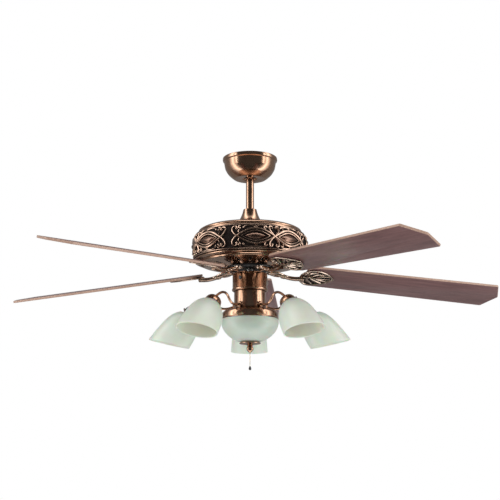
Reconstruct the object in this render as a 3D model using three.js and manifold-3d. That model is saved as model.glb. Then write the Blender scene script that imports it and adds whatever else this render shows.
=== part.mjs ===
// Ceiling fan with five glass shades and a centre bowl light, hung on a downrod.
// Millimetres, +Z up. The ceiling is the plane z = 0 and the fan's axis is the Z axis.
import * as THREE from 'three';
import { mergeVertices } from 'three/addons/utils/BufferGeometryUtils.js';
import Module from 'manifold-3d';

const wasm = await Module();
wasm.setup();
const { Manifold, Mesh: ManifoldMesh } = wasm;

// ---- driving dimensions ----

const GAP = 0.3; // between two pieces that touch on the real fan
const SWIVEL_GAP = 0.8; // between the ball, its liner and its seat, which turn in one another
const SHEET = 1.5; // wall of the spun and pressed metal covers
const COUNT = 5; // blades, and lamps round the centre bowl
const BLADE_AZIMUTH = -57.3; // of blade 1, in degrees, counter-clockwise from +X
const LAMP_AZIMUTH = -53.5; // of lamp 1

const CANOPY = { radius: 71, bulge: 73, lip: 43, opening: 19.6, height: 58 };
const BALL = { radius: 22, z: -34, cut: 18 };
const LINER = { wall: 3.4, top: 4, bottom: 15 };
const SEAT = { outer: 31.5, top: 2, bottom: 17.5 };
const BRACKET = { length: 104, width: 42, plate: 2.5, seatHalf: 31 };
const ROD = { radius: 10.65, bore: 8.2, top: -19, bottom: -178 };
const SHAFT = { radius: 8, bore: 4.5, top: -186, bottom: -324 };
const COUPLING = { radius: 14.6, top: -152, seat: -179, flange: 22, bottom: -185.5 };

const HOUSING = {
  top: -186.5, rimTop: -202, rimBottom: -213, rimRadius: 136.5,
  bandTop: -213.4, bandBottom: -280.4, widest: 155.8, widestZ: -243.5, bandWall: 5,
  ring1: 147.7, ring1Z: -285.5, ring2: 132, ring2Z: -292.5, hole: 62, holeZ: -301,
};
const VENT = { count: 20, inner: 88, outer: 112, width: 5 };
const STATOR = { radius: 80, top: -238, bottom: -262 };
const DRUM = { radius: 88, wall: 3.5, top: -226, bottom: -288, boss: 30, bossBottom: -296.7 };
const BEARING = { outer: 15.7, top: -279, bottom: -288 };
const FLYWHEEL = { radius: 58, hole: 12, top: -297, bottom: -306 };

const BLADE = {
  root: 150, tip: 711, shoulder: 685, rootHalf: 53, tipHalf: 61, corner: 22, thick: 6,
  apex: -307.4, droop: 3.24, pitch: 15.07,
};
const IRON = {
  foot: 45, footEnd: 64, footHalf: 17, footThick: 4, wide: 12, deep: 9,
  leafStart: 138, leafEnd: 230, leafHalf: 40, leafThick: 4,
};

const SWITCH = { radius: 45.9, top: -316.5, bottom: -364.5, bead: 47.4 };
const HUB = { radius: 41.7, top: -364.8, bottom: -408.2 };
const PAN = { top: -408.5, neck: 38, flare: 62.8, flareZ: -416, rim: 72.7, bottom: -437.5 };
const BOWL = { radius: 75, top: -437.8, bottom: -499, wall: 3 };
const STAY = { radius: 5, bore: 2.6, top: -409.5 }; // threaded tube that carries the bowl
const FINIAL = { disc: 27.9, top: -499.3, knob: 9.1, bottom: -524 };
const CHAIN = { stem: 1.7, pull: 12, start: -528, radius: 1.2, end: -560.4, fob: 3.4, fobEnd: -571 };

const LAMP = {
  neckR: 169.8, neckZ: -424.8, angle: 51, // centre of the shade's neck, and its axis below level
  cupTop: 29, cupRim: 6, cupRadius: 22.6, cupWall: 1.3,
  glassNeck: 20, glassWall: 3, mouthDepth: 89, mouthSlant: 25,
  socket: 14, socketNeck: 7, socketShoulder: 20, socketEnd: 4, bulb: 20, bulbEnd: 52, tube: 3.4, flange: 7,
};
const SEGMENTS = { big: 28, medium: 18, small: 12, fine: 72 };

// ---- materials ----

const finish = (color, roughness, metalness, extra = {}) =>
  new THREE.MeshStandardMaterial({ color, roughness, metalness, ...extra });
const COPPER = finish(0x9a5f42, 0.32, 1);
const DARK_COPPER = finish(0x4a2c20, 0.45, 1);
const STEEL = finish(0x9a9a98, 0.4, 1);
const ZINC = finish(0x77777a, 0.5, 1);
const BLACK = finish(0x151313, 0.55, 0);
const WALNUT = finish(0x6f4a48, 0.45, 0);
const FROSTED = finish(0xd3dccf, 0.55, 0, { transparent: true, opacity: 0.85 });
const BULB_GLASS = finish(0xf2f0e6, 0.3, 0, { transparent: true, opacity: 0.8 });
const PORCELAIN = finish(0xe8e4da, 0.4, 0);
const BRASS = finish(0xc9a45c, 0.3, 1);

// ---- solids ----

const rad = THREE.MathUtils.degToRad;
const point = ([x, y]) => new THREE.Vector2(x, y);

/** One closed indexed skin that faces out. */
function weld(geometry) {
  geometry.deleteAttribute('normal');
  geometry.deleteAttribute('uv');
  const skin = mergeVertices(geometry, 1e-4);
  const { array } = skin.index;
  const p = skin.attributes.position;
  const [a, b, c] = [new THREE.Vector3(), new THREE.Vector3(), new THREE.Vector3()];
  const kept = [];
  let volume = 0;
  for (let i = 0; i < array.length; i += 3) {
    const [u, v, w] = array.slice(i, i + 3);
    if (u === v || v === w || w === u) continue;
    kept.push(u, v, w);
    volume += a.fromBufferAttribute(p, u).dot(b.fromBufferAttribute(p, v).cross(c.fromBufferAttribute(p, w)));
  }
  skin.setIndex(volume < 0 ? kept.reverse() : kept);
  return skin;
}

function toManifold(geometry) {
  const skin = weld(geometry);
  return new Manifold(new ManifoldMesh({
    numProp: 3,
    vertProperties: new Float32Array(skin.attributes.position.array),
    triVerts: new Uint32Array(skin.index.array),
  }));
}

function fromManifold(manifold) {
  const { vertProperties, triVerts } = manifold.getMesh();
  const geometry = new THREE.BufferGeometry();
  geometry.setAttribute('position', new THREE.BufferAttribute(new Float32Array(vertProperties), 3));
  geometry.setIndex([...triVerts]);
  return geometry;
}

const joined = (...geometries) => fromManifold(Manifold.union(geometries.map(toManifold)));
const cut = (body, ...tools) => fromManifold(toManifold(body).subtract(Manifold.union(tools.map(toManifold))));

/** A profile of [radius, z] points turned round the Z axis. */
const turned = (profile, segments = SEGMENTS.medium) =>
  weld(new THREE.LatheGeometry(profile.map(point), segments).rotateX(Math.PI / 2));

/** The same profile with a second wall on its inner side, as a closed ring. */
function shell(outer, wall, segments) {
  const inner = outer.map(([r, z], i) => {
    const [r0, z0] = outer[Math.max(i - 1, 0)];
    const [r1, z1] = outer[Math.min(i + 1, outer.length - 1)];
    const length = Math.hypot(r1 - r0, z1 - z0);
    return [Math.max(r + ((z1 - z0) / length) * wall, 0), z - ((r1 - r0) / length) * wall];
  });
  return turned([...outer, ...inner.reverse(), outer[0]], segments);
}

/** A ring or disc with square edges. */
const ring = (inner, outer, top, bottom, segments) => (inner > 0
  ? turned([[inner, bottom], [outer, bottom], [outer, top], [inner, top], [inner, bottom]], segments)
  : turned([[0, bottom], [outer, bottom], [outer, top], [0, top]], segments));

const box = (x, y, z, [cx, cy, cz]) => new THREE.BoxGeometry(x, y, z).translate(cx, cy, cz);

/** A rod of elliptical section along points in the XZ plane. */
function bar(path, halfWide, halfDeep, sides, steps) {
  const section = new THREE.Shape();
  section.setFromPoints(Array.from({ length: sides }, (_, i) => {
    const angle = (i / sides) * 2 * Math.PI;
    return new THREE.Vector2(halfWide * Math.cos(angle), halfDeep * Math.sin(angle));
  }));
  const curve = new THREE.CatmullRomCurve3(path.map(([r, z]) => new THREE.Vector3(r, 0, z)));
  return new THREE.ExtrudeGeometry(section, { steps, extrudePath: curve });
}

const fan = new THREE.Group();

function add(parent, name, geometry, material, place = {}) {
  const mesh = new THREE.Mesh(geometry, material);
  mesh.name = name;
  mesh.position.set(...(place.position ?? [0, 0, 0]));
  mesh.rotation.set(...(place.rotation ?? [0, 0, 0]));
  parent.add(mesh);
}

// ---- ceiling end: bracket, canopy, hanger ball and its seat ----

/** A band of a ball between two depths below its centre. */
function ballZone(radius, top, bottom, steps) {
  return Array.from({ length: steps + 1 }, (_, i) => {
    const depth = top + ((bottom - top) * i) / steps;
    return [Math.sqrt(radius ** 2 - depth ** 2), BALL.z - depth];
  });
}

function hangerBracket() {
  const seatRadius = BALL.radius + LINER.wall + 2 * SWIVEL_GAP;
  const socket = ballZone(seatRadius, SEAT.top, SEAT.bottom, 4);
  const seat = turned([
    [SEAT.outer, BALL.z - SEAT.bottom], [SEAT.outer, BALL.z - SEAT.top], ...socket,
    [SEAT.outer, BALL.z - SEAT.bottom],
  ]);
  const plate = box(BRACKET.length, BRACKET.width, BRACKET.plate, [0, 0, -BRACKET.plate / 2]);
  const depth = -BALL.z + SEAT.bottom;
  const cheeks = [-1, 1].map((side) => box(
    BRACKET.plate, BRACKET.width * 0.7, depth, [side * BRACKET.seatHalf, 0, -depth / 2],
  ));
  return joined(plate, seat, ...cheeks);
}

function canopy() {
  const { radius, bulge, lip, opening, height } = CANOPY;
  return shell([
    [radius, 0], [bulge, -3], [bulge, -8], [radius - 2, -11.5], [radius - 2.5, -18],
    [radius - 6, -32], [radius - 13, -44], [radius - 22, -53], [lip, -height], [lip - 4, -height - 0.6],
    [opening + 6, -height], [opening, -height + 1.5],
  ], SHEET, SEGMENTS.big);
}

function hangerBall() {
  const bore = ROD.radius + GAP;
  const skin = ballZone(BALL.radius, -BALL.cut, BALL.cut, 8);
  return turned([[bore, BALL.z + BALL.cut], ...skin, [bore, BALL.z - BALL.cut], [bore, BALL.z + BALL.cut]]);
}

function seatLiner() {
  const inner = ballZone(BALL.radius + SWIVEL_GAP, LINER.top, LINER.bottom, 3);
  const outer = ballZone(BALL.radius + SWIVEL_GAP + LINER.wall, LINER.top, LINER.bottom, 3);
  return turned([...outer, ...inner.reverse(), outer[0]]);
}

add(fan, 'hanger_bracket', hangerBracket(), STEEL);
add(fan, 'canopy', canopy(), COPPER);
add(fan, 'ball_seat_liner', seatLiner(), BLACK);
add(fan, 'hanger_ball', hangerBall(), ZINC);
add(fan, 'downrod', ring(ROD.bore, ROD.radius, ROD.top, ROD.bottom), COPPER);

// ---- motor and its housing ----

/** The yoke on top of the motor: the downrod stands in its sleeve, and the shaft in its floor. */
function motorCoupling() {
  const { radius, top, seat, flange, bottom } = COUPLING;
  const bore = ROD.radius + GAP;
  const hole = SHAFT.bore;
  return turned([
    [bore, top], [radius, top], [radius, seat - 1], [flange, seat - 3], [flange, bottom], [hole, bottom],
    [hole, seat], [bore, seat], [bore, top],
  ]);
}

const couplingCover = () => shell([
  [17, -142.5], [18, -144], [19.5, -150], [23, -160], [27, -168.5], [33, -177], [40.5, -184.3],
], SHEET);

function housingTop() {
  const { top, rimTop, rimBottom, rimRadius } = HOUSING;
  return shell([
    [rimRadius - 2, rimBottom], [rimRadius, rimBottom + 1.5], [rimRadius, rimTop - 3],
    [rimRadius - 3, rimTop], [124, rimTop + 4], [92, rimTop + 9.5], [48, top],
    [SHAFT.radius + GAP, top],
  ].reverse(), SHEET, SEGMENTS.big);
}

/** Outer outline of the cast scroll band, from its top edge to its bottom edge. */
function bandOutline() {
  const { bandTop, bandBottom, widest, widestZ, ring1 } = HOUSING;
  const steps = 4;
  const arc = (from, to, fromZ, toZ) => Array.from({ length: steps }, (_, i) => {
    const t = ((i + 0.5) / steps) * (Math.PI / 2);
    return [from + (to - from) * Math.sin(t), fromZ + (toZ - fromZ) * (1 - Math.cos(t))];
  });
  const upper = arc(138, widest, bandTop, widestZ);
  const lower = arc(ring1, widest, bandBottom, widestZ).reverse();
  return [[138, bandTop], ...upper, [widest, widestZ], ...lower, [ring1, bandBottom]];
}

function housingBase() {
  const { bandBottom, ring1, ring1Z, ring2, ring2Z, hole, holeZ } = HOUSING;
  const top = bandBottom - GAP;
  const cover = shell([
    [ring1 - 5, top], [ring1, top - 0.8], [ring1, ring1Z], [ring1 - 9, ring1Z - 1.5],
    [ring2, ring1Z - 2.5], [ring2, ring2Z], [ring2 - 8, ring2Z - 1.5], [100, -297],
    [hole + 4, holeZ], [hole, holeZ + 0.5],
  ], SHEET, SEGMENTS.big);
  const slots = Array.from({ length: VENT.count }, (_, i) => box(
    VENT.outer - VENT.inner, VENT.width, 12, [(VENT.outer + VENT.inner) / 2, 0, ring2Z - 4],
  ).rotateZ((i / VENT.count) * 2 * Math.PI));
  return cut(cover, ...slots);
}

function rotorDrum() {
  const { radius, wall, top, bottom, boss, bossBottom } = DRUM;
  const bore = BEARING.outer + GAP;
  const floor = bottom + wall;
  return turned([
    [radius - wall, top], [radius, top], [radius, bottom], [boss, bottom], [boss, bossBottom],
    [bore, bossBottom], [bore, floor], [radius - wall, floor], [radius - wall, top],
  ], SEGMENTS.big);
}

add(fan, 'coupling_cover', couplingCover(), COPPER);
add(fan, 'motor_coupling', motorCoupling(), ZINC);
add(fan, 'motor_shaft', ring(SHAFT.bore, SHAFT.radius, SHAFT.top, SHAFT.bottom, SEGMENTS.small), STEEL);
add(fan, 'stator_core', ring(SHAFT.radius + GAP, STATOR.radius, STATOR.top, STATOR.bottom), STEEL);
add(fan, 'housing_top', housingTop(), COPPER);
add(fan, 'housing_band', shell(bandOutline(), HOUSING.bandWall, SEGMENTS.big), DARK_COPPER);
add(fan, 'housing_base', housingBase(), COPPER);
add(fan, 'rotor_drum', rotorDrum(), ZINC);
add(fan, 'motor_bearing', ring(SHAFT.radius + GAP, BEARING.outer, BEARING.top, BEARING.bottom), STEEL);
add(fan, 'flywheel', ring(FLYWHEEL.hole, FLYWHEEL.radius, FLYWHEEL.top, FLYWHEEL.bottom), BLACK);

// ---- blades and blade irons, each modelled along +X and turned to its place ----

function blade() {
  const { root, tip, shoulder, rootHalf, tipHalf, corner, thick } = BLADE;
  const outline = new THREE.Shape();
  outline.moveTo(root + corner, -rootHalf);
  outline.lineTo(shoulder, -tipHalf);
  outline.lineTo(tip, 0);
  outline.lineTo(shoulder, tipHalf);
  outline.lineTo(root + corner, rootHalf);
  outline.absarc(root + corner, rootHalf - corner, corner, Math.PI / 2, Math.PI, false);
  outline.absarc(root + corner, corner - rootHalf, corner, Math.PI, 1.5 * Math.PI, false);
  return new THREE.ExtrudeGeometry(outline, { depth: thick, bevelEnabled: false, curveSegments: 5 });
}

/** The pierced leaf that the blade is screwed to, in the blade's own plane. */
function ironLeaf() {
  const { leafStart, leafEnd, leafHalf, leafThick } = IRON;
  const middle = (leafStart + leafEnd) / 2;
  const outline = new THREE.Shape();
  outline.moveTo(leafStart, -11);
  outline.bezierCurveTo(leafStart + 6, -leafHalf, middle + 8, -leafHalf - 8, middle + 26, -24);
  outline.quadraticCurveTo(leafEnd - 8, -13, leafEnd, 0);
  outline.quadraticCurveTo(leafEnd - 8, 13, middle + 26, 24);
  outline.bezierCurveTo(middle + 8, leafHalf + 8, leafStart + 6, leafHalf, leafStart, 11);
  outline.closePath();
  for (const side of [-1, 1]) {
    for (const [x, y, long, wide, turn] of [[167, 19, 13, 5, 55], [196, 17, 12, 4.5, 35]]) {
      const hole = new THREE.Path();
      hole.absellipse(x, side * y, long, wide, 0, 2 * Math.PI, true, side * rad(turn));
      outline.holes.push(hole);
    }
  }
  const leaf = new THREE.ExtrudeGeometry(outline, { depth: leafThick, bevelEnabled: false, curveSegments: 5 });
  leaf.translate(0, 0, -leafThick - GAP).applyMatrix4(bladeTilt());
  return leaf;
}

/** Droop and pitch of the blade, about the point where its underside meets the axis. */
function bladeTilt() {
  const euler = new THREE.Euler(-rad(BLADE.pitch), rad(BLADE.droop), 0, 'YXZ');
  return new THREE.Matrix4().makeRotationFromEuler(euler).setPosition(0, 0, BLADE.apex);
}

function bladeIron() {
  const { foot, footEnd, footHalf, footThick, wide, deep } = IRON;
  const top = FLYWHEEL.bottom - GAP;
  const pad = box(footEnd - foot, 2 * footHalf, footThick, [(foot + footEnd) / 2, 0, top - footThick / 2]);
  const arm = bar(
    [[50, top - 5], [64, top - 5.4], [82, -316], [104, -322], [124, -324.5], [144, -323.6]],
    wide / 2, deep / 2, 8, 8,
  );
  return joined(pad, arm, ironLeaf());
}

const bladeShape = blade().applyMatrix4(bladeTilt());
const ironShape = bladeIron();
for (let i = 0; i < COUNT; i += 1) {
  const rotation = [0, 0, rad(BLADE_AZIMUTH + (i * 360) / COUNT)];
  add(fan, `blade_${i + 1}`, weld(bladeShape.clone()), WALNUT, { rotation });
  add(fan, `blade_iron_${i + 1}`, ironShape, COPPER, { rotation });
}

// ---- switch housing, hub, pan and bowl ----

function switchHousing() {
  const { radius, top, bottom, bead } = SWITCH;
  return shell([
    [SHAFT.radius + GAP, top], [radius - 5, top], [radius, top - 3], [radius, bottom + 7],
    [bead, bottom + 4.5], [bead, bottom + 1.5], [radius - 2, bottom],
  ], SHEET);
}

const lampHub = () => shell([
  [0, HUB.top], [HUB.radius - 2, HUB.top], [HUB.radius, HUB.top - 2], [HUB.radius, HUB.bottom],
], SHEET);

function bowlPan() {
  const { top, neck, flare, flareZ, rim, bottom } = PAN;
  return shell([
    [STAY.radius + GAP, top], [neck, top], [44, top - 1.5], [50, top - 4.5], [flare, flareZ], [rim - 2, flareZ - 3],
    [rim, flareZ - 8], [rim, bottom],
  ], SHEET);
}

function glassBowl() {
  const { radius, top, bottom, wall } = BOWL;
  return shell([
    [radius - 8, top + 6], [radius - 8, top], [radius - 1, top - 1], [radius, top - 8], [radius - 2.5, top - 20],
    [radius - 10, top - 34], [radius - 23, top - 47], [radius - 41, bottom + 4], [radius - 58, bottom],
    [STAY.radius + GAP, bottom],
  ], wall);
}

function finial() {
  const { disc, top, knob, bottom } = FINIAL;
  const chainHole = CHAIN.stem + GAP;
  const socket = STAY.radius + GAP;
  return turned([
    [socket, top], [disc - 2, top], [disc, top - 1.5], [disc - 2, top - 3], [10, top - 5], [5.8, top - 8],
    [knob - 1, top - 12], [knob, top - 16.5], [knob - 2, top - 21], [4, bottom], [chainHole, bottom],
    [chainHole, top - 6], [socket, top - 6], [socket, top],
  ], SEGMENTS.medium);
}

const bowlBulb = () => turned([
  [0, -422.5], [8, -422.5], [8, -434], [13, -442], [15, -450], [13, -459], [7, -467], [0, -471],
], SEGMENTS.small);

add(fan, 'switch_housing', switchHousing(), COPPER);
add(fan, 'lamp_hub', lampHub(), COPPER);
add(fan, 'bowl_pan', bowlPan(), COPPER);
add(fan, 'glass_bowl', glassBowl(), FROSTED);
add(fan, 'bowl_stay', ring(STAY.bore, STAY.radius, STAY.top, FINIAL.top - 5.5, SEGMENTS.small), BRASS);
add(fan, 'bowl_bulb', bowlBulb(), BULB_GLASS, { position: [-38, 0, 0] });
add(fan, 'finial', finial(), COPPER);

// ---- pull chain, which comes out through the finial ----

const chainStem = () => ring(0, CHAIN.stem, FINIAL.top - 7, CHAIN.start + GAP, 10);
const pullChain = () => turned([
  [0, CHAIN.start], [CHAIN.radius * 0.4, CHAIN.start], [CHAIN.radius, CHAIN.start - 1],
  [CHAIN.radius, CHAIN.end], [0, CHAIN.end],
], 10);
const chainFob = () => turned([
  [0, CHAIN.end - GAP], [1.6, CHAIN.end - GAP], [CHAIN.fob, CHAIN.end - 4], [CHAIN.fob, CHAIN.fobEnd + 2],
  [1.8, CHAIN.fobEnd], [0, CHAIN.fobEnd],
], 12);

add(fan, 'chain_stem', chainStem(), BRASS);
add(fan, 'pull_chain', pullChain(), BRASS);
add(fan, 'chain_fob', chainFob(), BLACK);

// ---- five lamps: arm, cup, socket, bulb and shade ----
// A lamp's own axis runs down -Z from the centre of the shade's neck; depths are along it.

function shadeCup() {
  const { cupTop, cupRim, cupRadius, cupWall } = LAMP;
  return shell([
    [0, cupTop], [8, cupTop], [15, cupTop - 2.5], [20, cupTop - 7.5], [cupRadius - 1, cupTop - 15],
    [cupRadius, cupRim + 1.5], [cupRadius, cupRim],
  ], cupWall, SEGMENTS.medium);
}

function glassShade() {
  const { glassNeck, glassWall, mouthDepth, mouthSlant } = LAMP;
  const whole = shell([
    [glassNeck, 15], [glassNeck, 4], [28, -0.5], [33, -6], [38, -14], [42, -23], [45.5, -35],
    [48, -50], [49.6, -68], [51, -92], [51.5, -140],
  ], glassWall, SEGMENTS.medium);
  const slope = Math.tan(rad(mouthSlant));
  const length = Math.hypot(slope, 1);
  return fromManifold(toManifold(whole).trimByPlane([slope / length, 0, 1 / length], -mouthDepth / length));
}

function lampSocket() {
  const { cupTop, cupWall, socket, socketNeck, socketShoulder, socketEnd } = LAMP;
  const top = cupTop - cupWall - GAP;
  return turned([
    [0, -socketEnd], [socket, -socketEnd], [socket, socketShoulder], [socketNeck, socketShoulder + 2],
    [socketNeck, top], [0, top],
  ], SEGMENTS.small);
}

function lampBulb() {
  const { socketEnd, bulb, bulbEnd } = LAMP;
  const top = -socketEnd - GAP;
  return turned([
    [0, top], [11, top], [12, top - 6], [17, top - 15], [bulb, top - 25], [bulb, top - 31],
    [15, top - 41], [8, -bulbEnd + 2], [0, -bulbEnd],
  ], SEGMENTS.small);
}

function lampArm() {
  const away = rad(LAMP.angle);
  const end = LAMP.cupTop + GAP;
  const along = (depth) => [LAMP.neckR - depth * Math.cos(away), LAMP.neckZ + depth * Math.sin(away)];
  const start = HUB.radius + GAP;
  const tube = bar(
    [[start + 1, -402], [55, -405.5], [68, -407], [80, -405], [90, -398], [98, -388.5], [105, -384],
      [113, -382.3], [124, -384], [135, -389], along(end + 6), along(end)],
    LAMP.tube, LAMP.tube, 8, 18,
  );
  const flange = new THREE.CylinderGeometry(LAMP.flange, LAMP.flange, 4, SEGMENTS.small).rotateZ(Math.PI / 2);
  const hollow = ring(0, HUB.radius + GAP, HUB.top, HUB.bottom - 6, SEGMENTS.fine);
  return cut(joined(tube, flange.translate(start + 2, 0, -402)), hollow);
}

const lampPieces = [
  ['shade_cup', shadeCup(), COPPER],
  ['lamp_socket', lampSocket(), PORCELAIN],
  ['lamp_bulb', lampBulb(), BULB_GLASS],
  ['glass_shade', glassShade(), FROSTED],
];
const armShape = lampArm();
for (let i = 0; i < COUNT; i += 1) {
  const lamp = new THREE.Group();
  lamp.rotation.z = rad(LAMP_AZIMUTH + (i * 360) / COUNT);
  fan.add(lamp);
  add(lamp, `lamp_arm_${i + 1}`, armShape, COPPER);
  for (const [name, geometry, material] of lampPieces) {
    add(lamp, `${name}_${i + 1}`, geometry, material, {
      position: [LAMP.neckR, 0, LAMP.neckZ],
      rotation: [0, rad(LAMP.angle - 90), 0],
    });
  }
}

export default fan;
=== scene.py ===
"""Ceiling fan with five glass shades and a centre bowl light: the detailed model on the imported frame."""

import math

import bmesh
import bpy
from mathutils import Matrix, Vector


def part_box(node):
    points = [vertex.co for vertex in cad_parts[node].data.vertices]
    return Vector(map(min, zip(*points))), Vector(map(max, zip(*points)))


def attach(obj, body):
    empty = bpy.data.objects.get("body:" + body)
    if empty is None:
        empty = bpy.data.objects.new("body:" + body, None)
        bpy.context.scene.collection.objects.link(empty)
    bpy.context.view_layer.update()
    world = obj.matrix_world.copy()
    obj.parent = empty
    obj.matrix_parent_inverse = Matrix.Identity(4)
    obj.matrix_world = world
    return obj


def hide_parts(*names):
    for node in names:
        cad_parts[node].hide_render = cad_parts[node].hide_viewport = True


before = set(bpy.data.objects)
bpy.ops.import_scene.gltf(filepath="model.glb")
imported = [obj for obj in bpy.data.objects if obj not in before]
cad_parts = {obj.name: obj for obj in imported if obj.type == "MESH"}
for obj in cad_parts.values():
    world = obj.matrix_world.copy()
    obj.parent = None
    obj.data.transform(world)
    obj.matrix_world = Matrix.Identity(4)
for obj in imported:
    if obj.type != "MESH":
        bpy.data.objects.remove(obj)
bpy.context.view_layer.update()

MM = 0.001
COUNT = 5  # blades, and lamps
ROUND = 96  # sides of the large turned covers
SMALL_ROUND = 40
GAP = 0.3
SHEET = 1.5
BLADE_AZIMUTH = math.radians(-57.3)
LAMP_AZIMUTH = math.radians(-53.5)
FULL = 2 * math.pi
SOFT_LIGHT = 0.9
PANEL_LIGHT = 6.0
CAMERA_PLACE = (0, -3.1886, -0.9411)
LOOK_UP = 12.19  # degrees above level
LENS = 88.75
KEY_PANEL = (0.45, 2.2)
KEY_WHITE = (1, 0.98, 0.95)


# ---- camera and light ----

def look_from_the_room():
    """The photograph's viewpoint: in front of the fan and below it, looking up."""
    camera = bpy.data.objects.new("camera", bpy.data.cameras.new("camera"))
    camera.location = CAMERA_PLACE
    camera.rotation_euler = (math.radians(90 + LOOK_UP), 0, 0)
    camera.data.lens = LENS
    camera.data.sensor_width = 36
    camera.data.clip_end = 60
    bpy.context.scene.collection.objects.link(camera)
    bpy.context.scene.camera = camera


def lamp(name, place, target, size, power, colour=(1, 1, 1)):
    light = bpy.data.lights.new(name, "AREA")
    light.shape = "RECTANGLE"
    light.size, light.size_y = size
    light.energy = power
    light.color = colour
    holder = bpy.data.objects.new(name, light)
    holder.location = place
    direction = Vector(target) - Vector(place)
    holder.rotation_euler = direction.to_track_quat("-Z", "Y").to_euler()
    holder.visible_camera = False
    bpy.context.scene.collection.objects.link(holder)


def studio():
    """White all round, but polished metal mirrors a dark room with one bright ring round the Y axis."""
    world = bpy.data.worlds.new("studio")
    bpy.context.scene.world = world
    world.use_nodes = True
    nodes, links = world.node_tree.nodes, world.node_tree.links
    nodes.clear()
    output = nodes.new("ShaderNodeOutputWorld")
    rays = nodes.new("ShaderNodeLightPath")
    white = nodes.new("ShaderNodeBackground")
    white.inputs["Color"].default_value = (1, 1, 1, 1)
    white.inputs["Strength"].default_value = 1.0
    soft = nodes.new("ShaderNodeBackground")
    soft.inputs["Color"].default_value = (1, 1, 1, 1)
    soft.inputs["Strength"].default_value = SOFT_LIGHT
    mirrored = nodes.new("ShaderNodeBackground")
    mirrored.inputs["Strength"].default_value = PANEL_LIGHT
    direction = nodes.new("ShaderNodeTexCoord")
    split = nodes.new("ShaderNodeSeparateXYZ")
    forward = nodes.new("ShaderNodeMath")
    forward.operation = "MULTIPLY_ADD"
    forward.inputs[1].default_value = -0.5
    forward.inputs[2].default_value = 0.5
    links.new(direction.outputs["Generated"], split.inputs[0])
    links.new(split.outputs["Y"], forward.inputs[0])
    shades = [
        (0.0, 0.05), (0.38, 0.06), (0.50, 0.42), (0.57, 1.0), (0.64, 0.30), (0.70, 0.05), (0.77, 0.01),
        (1.0, 0.016),
    ]
    links.new(ramp(nodes, links, forward.outputs[0], shades), mirrored.inputs["Color"])
    by_surface = nodes.new("ShaderNodeMixShader")
    links.new(rays.outputs["Is Glossy Ray"], by_surface.inputs[0])
    links.new(soft.outputs[0], by_surface.inputs[1])
    links.new(mirrored.outputs[0], by_surface.inputs[2])
    by_camera = nodes.new("ShaderNodeMixShader")
    links.new(rays.outputs["Is Camera Ray"], by_camera.inputs[0])
    links.new(by_surface.outputs[0], by_camera.inputs[1])
    links.new(white.outputs[0], by_camera.inputs[2])
    links.new(by_camera.outputs[0], output.inputs[0])
    lamp("key_left", (-2.9, -1.5, 0.2), (0, 0, -0.3), KEY_PANEL, 16, KEY_WHITE)
    lamp("key_right", (2.9, -1.5, 0.2), (0, 0, -0.3), KEY_PANEL, 18, KEY_WHITE)


# ---- materials ----

def new_material(name):
    material = bpy.data.materials.new(name)
    material.use_nodes = True
    tree = material.node_tree
    return material, tree.nodes, tree.links, tree.nodes["Principled BSDF"]


def noise(nodes, links, scale, detail=4.0, stretch=(1, 1, 1)):
    coordinates = nodes.new("ShaderNodeTexCoord")
    mapping = nodes.new("ShaderNodeMapping")
    mapping.inputs["Scale"].default_value = stretch
    texture = nodes.new("ShaderNodeTexNoise")
    texture.inputs["Scale"].default_value = scale
    texture.inputs["Detail"].default_value = detail
    links.new(coordinates.outputs["Object"], mapping.inputs["Vector"])
    links.new(mapping.outputs[0], texture.inputs["Vector"])
    return texture.outputs["Fac"]


def ramp(nodes, links, value, stops):
    """Colours or greys between positions, driven by value."""
    blend = nodes.new("ShaderNodeValToRGB")
    elements = blend.color_ramp.elements
    while len(elements) < len(stops):
        elements.new(0.5)
    for element, (position, colour) in zip(elements, stops):
        element.position = position
        element.color = (*colour, 1) if isinstance(colour, tuple) else (colour, colour, colour, 1)
    links.new(value, blend.inputs[0])
    return blend.outputs[0]


def bump(nodes, links, shader, height, strength, distance):
    node = nodes.new("ShaderNodeBump")
    node.inputs["Strength"].default_value = strength
    node.inputs["Distance"].default_value = distance
    links.new(height, node.inputs["Height"])
    links.new(node.outputs[0], shader.inputs["Normal"])


def metal(name, light, dark, roughness, brushed=(1, 1, 1), grain=160, depth=0.00001):
    """Plated metal: patches of patina, fine brushing and an uneven polish."""
    material, nodes, links, shader = new_material(name)
    shader.inputs["Metallic"].default_value = 1.0
    patina = noise(nodes, links, 26, 6)
    links.new(ramp(nodes, links, patina, [(0.34, dark), (0.66, light)]), shader.inputs["Base Color"])
    lines = noise(nodes, links, grain, 3, brushed)
    smooth, rough = roughness
    links.new(ramp(nodes, links, lines, [(0.3, smooth), (0.75, rough)]), shader.inputs["Roughness"])
    bump(nodes, links, shader, lines, 0.03, depth)
    return material


def cast_metal(name, light, dark, black):
    """Antique casting coloured by its pointiness: bright on its edges, partly rubbed wear and partly painted
    highlight, and black in its hollows, partly patina and partly painted shade.
    """
    material, nodes, links, shader = new_material(name)
    shader.inputs["Metallic"].default_value = 1.0
    geometry = nodes.new("ShaderNodeNewGeometry")
    speckle = noise(nodes, links, 210, 5)
    add = nodes.new("ShaderNodeMath")
    add.operation = "MULTIPLY_ADD"
    add.inputs[1].default_value = 0.04
    links.new(speckle, add.inputs[0])
    links.new(geometry.outputs["Pointiness"], add.inputs[2])
    # ridges take the light colour as painted highlight, hollows take the black as painted shade
    stops = [(0.49, black), (0.525, dark), (0.60, light)]
    links.new(ramp(nodes, links, add.outputs[0], stops), shader.inputs["Base Color"])
    links.new(ramp(nodes, links, speckle, [(0.35, 0.18), (0.7, 0.32)]), shader.inputs["Roughness"])
    bump(nodes, links, shader, speckle, 0.2, 0.00008)
    return material


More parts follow.
